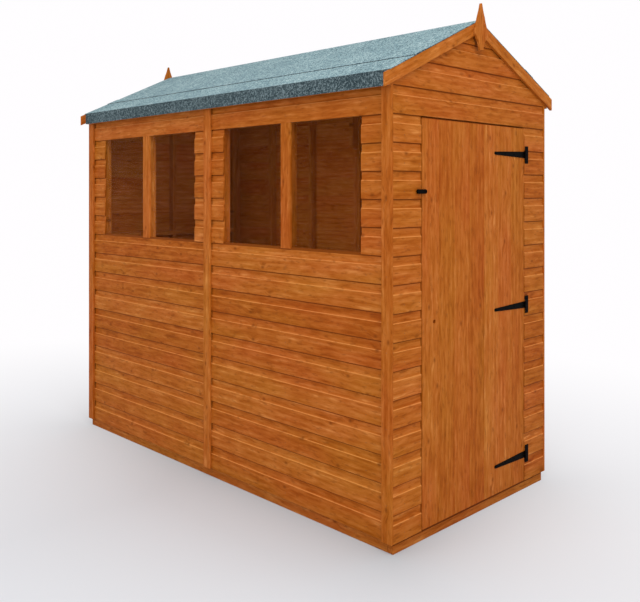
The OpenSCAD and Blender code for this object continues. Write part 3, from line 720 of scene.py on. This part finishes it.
def mineral_felt():
    """Crushed slate pressed into bitumen: pale and dark grit 2 to 4 mm across, dull, rough."""
    material, tree, shader = finish("slate_grit_roofing_felt")
    place = add_node(tree, "ShaderNodeTexCoord").outputs["Object"]
    grit = add_node(tree, "ShaderNodeTexVoronoi", {"Scale": 190.0}, {"Vector": place})
    shade = add_node(tree, "ShaderNodeSeparateColor", links={"Color": grit.outputs["Color"]})
    wear_and_highlight = add_node(tree, "ShaderNodeTexNoise", {"Scale": 5.0, "Detail": 3.0}, {"Vector": place})
    mix = add_node(tree, "ShaderNodeMath", {1: 0.3}, {0: wear_and_highlight.outputs["Fac"]}, operation="MULTIPLY")
    mix = add_node(tree, "ShaderNodeMath", {1: 0.75}, {0: shade.outputs["Red"], 2: mix.outputs[0]},
                   operation="MULTIPLY_ADD")
    top = add_node(tree, "ShaderNodeValToRGB", links={"Fac": mix.outputs[0]},
                   stops=[(0.15, "#46606A"), (0.35, "#6A868E"), (0.6, "#88A5AA"), (0.9, "#B4C9CA")])
    bare = add_node(tree, "ShaderNodeValToRGB", links={"Fac": mix.outputs[0]},
                    stops=[(0.15, "#26343A"), (0.5, "#3F4E52"), (0.9, "#76868A")])
    spread = add_node(tree, "ShaderNodeSeparateXYZ", links={"Vector": place})
    out = add_node(tree, "ShaderNodeMath", links={0: spread.outputs["X"]}, operation="ABSOLUTE")
    along = add_node(tree, "ShaderNodeMath", links={0: spread.outputs["Y"]}, operation="ABSOLUTE")
    fold = add_node(tree, "ShaderNodeMapRange", {"From Min": fold_x + 0.0008, "From Max": fold_x + 0.0020},
                    {"Value": out.outputs[0]})
    # bitumen shows at the cut ends, and along the lap a dark band is painted for the shade under the lap's edge, with
    # bitumen squeezed out there
    cut_end = add_node(tree, "ShaderNodeMath", {1: felt_high.y - 0.0006}, {0: along.outputs[0]},
                       operation="GREATER_THAN")
    lap_shade_and_bitumen = add_node(tree, "ShaderNodeMath", {1: lap_x + 0.0006, 2: 0.0018}, {0: out.outputs[0]},
                        operation="COMPARE")
    dark = add_node(tree, "ShaderNodeMath", links={0: fold.outputs[0], 1: cut_end.outputs[0]}, operation="MAXIMUM")
    dark = add_node(tree, "ShaderNodeMath", links={0: dark.outputs[0], 1: lap_shade_and_bitumen.outputs[0]}, operation="MAXIMUM")
    both = add_node(tree, "ShaderNodeMix", data_type="RGBA",
                    links={"Factor": dark.outputs[0], "A": top.outputs["Color"], "B": bare.outputs["Color"]})
    tree.links.new(both.outputs["Result"], shader.inputs["Base Color"])
    waves = add_node(tree, "ShaderNodeTexNoise", {"Scale": 7.0, "Detail": 1.0}, {"Vector": place})
    swell = add_node(tree, "ShaderNodeBump", {"Strength": 0.2, "Distance": 0.005}, {"Height": waves.outputs["Fac"]})
    bump = add_node(tree, "ShaderNodeBump", {"Strength": 0.8, "Distance": 0.0008},
                    {"Height": shade.outputs["Red"], "Normal": swell.outputs["Normal"]})
    tree.links.new(bump.outputs["Normal"], shader.inputs["Normal"])
    shader.inputs["Roughness"].default_value = 0.85
    shader.inputs["Specular IOR Level"].default_value = 0.1
    return material


dress(["felt_left", "felt_right", "felt_ridge"], mineral_felt())


# ---- Bargeboards and finials ----
# Planed boards nailed over the ends of the roof boards, plumb cut at both ends, and a pointed finial
# nailed over their joint at each gable.

barge_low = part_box("bargeboard_front_right")[0]
barge_h = 0.055
for name, side, end in (("front_right", 1, -1), ("front_left", -1, -1), ("rear_right", 1, 1), ("rear_left", -1, 1)):
    low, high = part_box("bargeboard_" + name)
    reach = side * max(abs(low.x), abs(high.x))
    foot = high.z - abs(reach) * roof_fall
    outline = [(0, high.z), (reach, foot), (reach, foot - barge_h), (0, high.z - barge_h)]
    plank = Joinery("bargeboard_planed_" + name)
    plank.fit(slab(outline, low.y, high.y, strip_arris),
              run=grain_run(Vector((math.cos(pitch), 0, -side * math.sin(pitch))), "Y"))
    plank.done(honey_pine, "stained_boarding", "bargeboard_" + name)

finial_low, finial_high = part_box("finials")
finial_w = finial_high.x
finial_h = finial_high.z - finial_low.z
finial_arris = 0.001
# half width and height of each corner, as shares of the whole, from the point down
finial_line = [(0.06, 1), (0.24, 0.855), (0.49, 0.715), (0.63, 0.61), (0.86, 0.488), (1, 0.43),
               (1, 0.32), (0.72, 0.232), (0.46, 0.159), (0.27, 0.034), (0.25, 0)]
finials = Joinery("finials_shaped")
for end in (-1, 1):
    right = [(w * finial_w, finial_low.z + up * finial_h) for w, up in finial_line]
    outline = right + [(-x, z) for x, z in reversed(right)]
    y = sorted((end * -barge_low.y, end * finial_high.y))
    finials.fit(slab(outline, y[0], y[1], finial_arris), run=grain_run("Z", "Y"))
finials.done(honey_pine, "stained_boarding", "finials")


# ---- Door ----
# Seven tongued and grooved boards, clenched to three ledges with two braces that rise from the hinge
# side, with a keyhole bored through near the free edge. Stops are nailed inside the opening.

door_low, door_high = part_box("door_boards")
door_count = 7
door_cover = (door_high.x - door_low.x) / door_count
door_arris = 0.0009
keyhole_in = 0.080
keyhole_d = 0.018
soaked = 0.004
ledge_low, ledge_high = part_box("door_ledges")
ledge_w = 0.070
hinge_heights = (ledge_low.z + ledge_w / 2, (ledge_low.z + ledge_high.z) / 2, ledge_high.z - ledge_w / 2)


def keyhole(plank, centre):
    """Bores the keyhole through a board of the door."""
    bit = bmesh.new()
    bmesh.ops.create_cone(bit, cap_ends=True, segments=40, radius1=keyhole_d / 2, radius2=keyhole_d / 2, depth=0.1,
                          matrix=Matrix.Translation(centre) @ Matrix.Rotation(math.radians(90), 4, "X"))
    return cut_away(plank, bit)


def end_stain(at):
    """The end grain at head and foot of the door drinks more stain."""
    return dark_stain_and_shade_tone if min(at.z - door_low.z, door_high.z - at.z) < soaked / 2 else 0


door = Joinery("door_boarding")
for k in range(door_count):
    x0 = door_low.x + k * door_cover
    length = stick((x0, door_low.y, door_low.z), (x0 + door_cover, door_high.y, door_high.z), door_arris)
    for z in (door_low.z + soaked, door_high.z - soaked):
        scribed(length, (0, 0, z), (0, 0, 1))
    hole_x = door_low.x + keyhole_in
    if x0 < hole_x < x0 + door_cover:
        length = keyhole(length, Vector((hole_x, door_low.y, hinge_heights[1])))
    door.fit(length, run=grain_run("Z", "Y"), stained=end_stain)
door.done(honey_pine, "stained_boarding", "door_boards", body="door", smooth=28)

ledges = Joinery("door_ledges_sawn")
for z in hinge_heights:
    ledges.fit(stick((ledge_low.x, ledge_low.y, z - ledge_w / 2), (ledge_high.x, ledge_high.y, z + ledge_w / 2)),
               run=grain_run("X", "Y"))
ledges.done(frame_pine, "framing", "door_ledges", body="door")

brace_run = 1.3 * ledge_w
braces = Joinery("door_braces_sawn")
for k in (0, 1):
    z0, z1 = hinge_heights[k] + ledge_w / 2, hinge_heights[k + 1] - ledge_w / 2
    line = [(ledge_high.x, z0), (ledge_high.x - brace_run, z0), (ledge_low.x, z1), (ledge_low.x + brace_run, z1)]
    rise = Vector((ledge_low.x - ledge_high.x, 0, z1 - z0)).normalized()
    braces.fit(slab(line, ledge_low.y, ledge_high.y), run=grain_run(rise, "Y"))
braces.done(frame_pine, "framing", "door_braces", body="door")

stop_w = 0.012
stops = Joinery("door_stops_sawn")
for side in (-1, 1):
    x = sorted((side * (open_x - stop_w), side * open_x))
    stops.fit(stick((x[0], stops_low.y, floor_z), (x[1], stops_high.y, head_z)), run=grain_run("Z", "Y"))
stops.done(frame_pine, "framing", "door_stops")


# ---- Hinges and turn button ----
# Black japanned tee hinges, screwed to the pier and along the door, and a black turn button that
# pivots on its screw at the free edge.


def black_japan():
    """Stoved black paint on pressed steel: nearly black, slightly uneven, a low gloss."""
    material, tree, shader = finish("black_japanned_steel")
    place = add_node(tree, "ShaderNodeTexCoord").outputs["Object"]
    pits = add_node(tree, "ShaderNodeTexNoise", {"Scale": 260.0, "Detail": 3.0}, {"Vector": place})
    shade = add_node(tree, "ShaderNodeValToRGB", links={"Fac": pits.outputs["Fac"]},
                     stops=[(0.3, "#020101"), (0.6, "#050302"), (0.8, "#0B0706")])
    tree.links.new(shade.outputs["Color"], shader.inputs["Base Color"])
    bump = add_node(tree, "ShaderNodeBump", {"Strength": 0.25, "Distance": 0.0005}, {"Height": pits.outputs["Fac"]})
    tree.links.new(bump.outputs["Normal"], shader.inputs["Normal"])
    shader.inputs["Roughness"].default_value = 0.6
    shader.inputs["Specular IOR Level"].default_value = 0.03
    return material


japan = black_japan()
ironmongery = ["hinge_plates", "hinge_straps", "button_pivot", "turn_button"]
dress(ironmongery, japan)
for name in ironmongery:
    part = frame["nodes"][name]
    weld = part.modifiers.new("weld", "WELD")
    weld.merge_threshold = 0.00002
    ease = part.modifiers.new("ease", "BEVEL")
    ease.width = 0.0004
    ease.segments = 2
    ease.limit_method = "ANGLE"

screw_d = 0.008
screw_rise = 0.0012
slot_w = 0.0014
leaf_t = 0.0025
pin_x = next(j for j in frame["joints"] if j["name"] == "door_hinge")["pos_m"][0]


def screw_head():
    """A slotted round head that looks out of the door gable, its back at the origin."""
    head = bmesh.new()
    lie = Matrix.Translation((0, -screw_rise / 2, 0)) @ Matrix.Rotation(math.radians(90), 4, "X")
    bmesh.ops.create_cone(head, cap_ends=True, segments=24, radius1=screw_d / 2, radius2=screw_d / 3,
                          depth=screw_rise, matrix=lie)
    slot = stick((-screw_d, -2 * screw_rise, -slot_w / 2), (screw_d, -screw_rise / 2, slot_w / 2), 0)
    bmesh.ops.rotate(slot, verts=slot.verts, matrix=Matrix.Rotation(math.radians(grain_seed.uniform(0, 180)), 3, "Y"))
    return cut_away(head, slot)


for name, body, places in (
    ("plate_screws", "root", [(0.018, -0.030), (0.024, 0.0), (0.018, 0.030)]),
    ("strap_screws", "door", [(-0.020, 0.0), (-0.092, 0.0), (-0.166, 0.0), (-0.243, 0.0)]),
):
    screws = Joinery(name)
    for z in hinge_heights:
        for along, up in places:
            screws.fit(screw_head(), Matrix.Translation((pin_x + along, -half_l - leaf_t, z + up)))
    screws.done(japan, "black_iron", body=body)


# ---- Board nails ----
# Galvanised wire nails through the boards into every stud, ledge and rail, their heads driven flush
# and dulled by the stain.

nail_d = 0.0036
nail_rise = 0.0003
nail_up = 0.030
strip_nails = 6
strip_nail_step = 0.3


def dulled_zinc():
    """Galvanised steel under a film of wood stain: brown grey, mottled, hardly any sheen."""
    material, tree, shader = finish("stained_galvanised_steel")
    place = add_node(tree, "ShaderNodeTexCoord").outputs["Object"]
    spots = add_node(tree, "ShaderNodeTexNoise", {"Scale": 700.0, "Detail": 2.0}, {"Vector": place})
    shade = add_node(tree, "ShaderNodeValToRGB", links={"Fac": spots.outputs["Fac"]},
                     stops=[(0.3, "#5E3A18"), (0.55, "#77502C"), (0.8, "#8D6C4C")])
    tree.links.new(shade.outputs["Color"], shader.inputs["Base Color"])
    shader.inputs["Metallic"].default_value = 0.5
    shader.inputs["Roughness"].default_value = 0.6
    return material


zinc = dulled_zinc()


def drive(nails, wall, along, heights):
    """Nail heads in a line up a wall of boards that looks out of the door gable before it is put in place."""
    for up in heights:
        head = bmesh.new()
        lie = Matrix.Translation((along, -boarding_t - nail_rise / 2, up)) @ Matrix.Rotation(math.radians(90), 4, "X")
        bmesh.ops.create_cone(head, cap_ends=True, segments=8, radius1=nail_d / 2, radius2=nail_d / 2.6,
                              depth=nail_rise, matrix=lie)
        nails.fit(head, wall)


board_zs = [foot_z + row * board_cover + nail_up for row in range(math.ceil((ridge_z - foot_z) / board_cover))]
eaves_zs = [z for z in board_zs if z < roof_at(frame_x) - nail_up]
stud_step = (frame_y - stud_w) / 3
strip_zs = [foot_z + (k + 0.5) * strip_nail_step for k in range(strip_nails)]
nails = Joinery("board_nails")
for side in (-1, 1):
    for y in (win_mid - glass_lap - stud_w / 2, win_y1 + glass_lap + stud_w / 2):
        drive(nails, to_left, side * y, eaves_zs)
    drive(nails, to_left, side * pane_mid, [z for z in eaves_zs if z < sill_z or z > head_z])
    for k in (1, 2):
        drive(nails, to_right, side * (k * stud_step + stud_w / 2), eaves_zs)
    for x in (open_x + stud_w / 2, inner_x - stud_w / 2):
        drive(nails, to_front, side * x, [z for z in board_zs if z < head_z])
    strip_face = Matrix.Translation((side * strip_t, 0, 0)) @ (to_right if side > 0 else to_left)
    for y in (-half_l + strip_w / 2, 0, half_l - strip_w / 2):
        drive(nails, strip_face, side * y, strip_zs)
for x in (stud_w / 2 - inner_x, 0, inner_x - stud_w / 2):
    under_roof = [z for z in board_zs if z < roof_at(x) - barge_h]
    drive(nails, to_rear, x, under_roof)
    drive(nails, to_front, x, [z for z in under_roof if z > head_z])
nails.done(zinc, "black_iron")

door_nails = Joinery("door_nails")
door_face = Matrix.Translation((0, door_low.y + boarding_t, 0))
for k in range(door_count):
    for z in hinge_heights:
        drive(door_nails, door_face, door_low.x + (k + 0.5) * door_cover, (z - 0.3 * ledge_w, z + 0.3 * ledge_w))
door_nails.done(zinc, "black_iron", body="door")


# ---- Studio ----
# A plain pale floor with a painted contact shadow close round the base, that pales into a white
# surround, an even sky, three large soft lamps round the shed and two small ones in the room.

floor_r = 14
white = (1.0, 0.985, 1.0, 1.0)
near_start = 0.9
far_start = 3.5
fade_reach = 4.3
# depth and fall of the shadow painted on the floor round the base
painted_shadow_depth = 0.38
painted_shadow_fall = 0.028
sky_light = 0.66

floor_disc = bmesh.new()
bmesh.ops.create_circle(floor_disc, cap_ends=True, segments=96, radius=floor_r)
ground_mesh = bpy.data.meshes.new("studio_floor")
floor_disc.to_mesh(ground_mesh)
floor_disc.free()
ground = bpy.data.objects.new("studio_floor", ground_mesh)
bpy.context.scene.collection.objects.link(ground)


def seen_as_itself(tree):
    """1 for what the camera sees, straight or in gloss or through glass, and 0 for what lights the shed."""
    rays = add_node(tree, "ShaderNodeLightPath")
    seen = rays.outputs["Is Camera Ray"]
    for other in ("Is Glossy Ray", "Is Transmission Ray"):
        seen = add_node(tree, "ShaderNodeMath", links={0: seen, 1: rays.outputs[other]},
                        operation="MAXIMUM").outputs[0]
    return seen


paper, tree, shader = finish("pale_studio_floor")
shader.inputs["Roughness"].default_value = 0.9
shader.inputs["Specular IOR Level"].default_value = 0.0
place = add_node(tree, "ShaderNodeTexCoord").outputs["Object"]
# the floor pales into the surround, from close by to the right and behind, from further off in front and left
behind = add_node(tree, "ShaderNodeVectorMath", {1: (near_start, 0, 0)}, {0: place}, operation="ADD")
ahead = add_node(tree, "ShaderNodeVectorMath", {0: (-far_start, -far_start, 0)}, {1: place}, operation="SUBTRACT")
off = add_node(tree, "ShaderNodeVectorMath", links={0: behind.outputs[0], 1: ahead.outputs[0]}, operation="MAXIMUM")
off = add_node(tree, "ShaderNodeVectorMath", {1: (0, 0, 0)}, {0: off.outputs[0]}, operation="MAXIMUM")
far = add_node(tree, "ShaderNodeVectorMath", links={0: off.outputs[0]}, operation="LENGTH")
near = add_node(tree, "ShaderNodeMapRange", {"From Max": fade_reach, "To Min": 1.0, "To Max": 0.0},
                {"Value": far.outputs["Value"]})
near = add_node(tree, "ShaderNodeMath", {1: 1.5}, {0: near.outputs[0]}, operation="POWER")
fade = add_node(tree, "ShaderNodeMath", {0: 1.0}, {1: near.outputs[0]}, operation="SUBTRACT")
# and a contact shadow is painted on it, greyer close round the base
edge = add_node(tree, "ShaderNodeVectorMath", links={0: place}, operation="ABSOLUTE")
edge = add_node(tree, "ShaderNodeVectorMath", {1: (base_high.x, base_high.y, 0)}, {0: edge.outputs[0]},
                operation="SUBTRACT")
edge = add_node(tree, "ShaderNodeVectorMath", {1: (0, 0, 0)}, {0: edge.outputs[0]}, operation="MAXIMUM")
edge = add_node(tree, "ShaderNodeVectorMath", links={0: edge.outputs[0]}, operation="LENGTH")
painted_contact_shadow = add_node(tree, "ShaderNodeMath", {0: painted_shadow_fall}, {1: edge.outputs["Value"]}, operation="POWER")
painted_contact_shadow = add_node(tree, "ShaderNodeMath", {1: painted_shadow_depth}, {0: painted_contact_shadow.outputs[0]}, operation="MULTIPLY")
floor_with_painted_shadow = add_node(tree, "ShaderNodeMix", {"A": linear("#E2E6EA"), "B": (0, 0, 0, 1)}, {"Factor": painted_contact_shadow.outputs[0]},
                  data_type="RGBA")
tree.links.new(floor_with_painted_shadow.outputs["Result"], shader.inputs["Base Color"])
share = add_node(tree, "ShaderNodeMath", links={0: seen_as_itself(tree), 1: fade.outputs[0]}, operation="MULTIPLY")
glow = add_node(tree, "ShaderNodeEmission", {"Strength": 1.0, "Color": white})
blend = add_node(tree, "ShaderNodeMixShader",
                 links={0: share.outputs[0], 1: shader.outputs[0], 2: glow.outputs[0]})
tree.links.new(blend.outputs[0], tree.nodes["Material Output"].inputs["Surface"])
ground_mesh.materials.append(paper)

world = bpy.data.worlds.new("studio_surround")
bpy.context.scene.world = world
world.use_nodes = True
tree = world.node_tree
sky = tree.nodes["Background"]
sky.inputs["Color"].default_value = white
level = add_node(tree, "ShaderNodeMapRange", {"To Min": sky_light, "To Max": 1.0}, {"Value": seen_as_itself(tree)})
tree.links.new(level.outputs[0], sky.inputs["Strength"])


def softbox(name, place, aim, size, power):
    """A square lamp at a place, turned towards a point."""
    lamp = bpy.data.lights.new(name, "AREA")
    lamp.size = size
    lamp.energy = power
    holder = bpy.data.objects.new(name, lamp)
    holder.location = place
    holder.rotation_euler = (Vector(aim) - Vector(place)).to_track_quat("-Z", "Y").to_euler()
    bpy.context.scene.collection.objects.link(holder)
    return holder


softbox("key_softbox", (-3.0, -3.8, 6.4), (0, 0, 1.0), 4.0, 225)
softbox("door_softbox", (-1.8, -7.2, 1.6), (0, 0, 1.0), 3.0, 68)
softbox("window_softbox", (-6.4, 1.5, 2.9), (0, 0.3, 1.2), 3.0, 56)

# two lamps inside, out of the camera's sight, lift the dark room a little
for name, y, aim, power in (("front", -0.65, (0.56, 0.25, 0.8), 3.0), ("rear", 0.10, (0.3, 1.17, 0.9), 1.2)):
    lamp = softbox("room_lamp_" + name, (-0.30, y, 1.45), aim, 0.3, power)
    lamp.visible_camera = False

camera_data = bpy.data.cameras.new("studio_camera")
camera_data.lens = 43.552
camera_data.shift_x = -0.0011
camera_data.shift_y = -0.1697
camera = bpy.data.objects.new("studio_camera", camera_data)
camera.location = (-2.904, -3.176, 1.4265)
camera.rotation_euler = (math.radians(90), 0, math.radians(-44.507))
bpy.context.scene.collection.objects.link(camera)
bpy.context.scene.camera = camera
bpy.context.scene.view_settings.view_transform = "Standard"
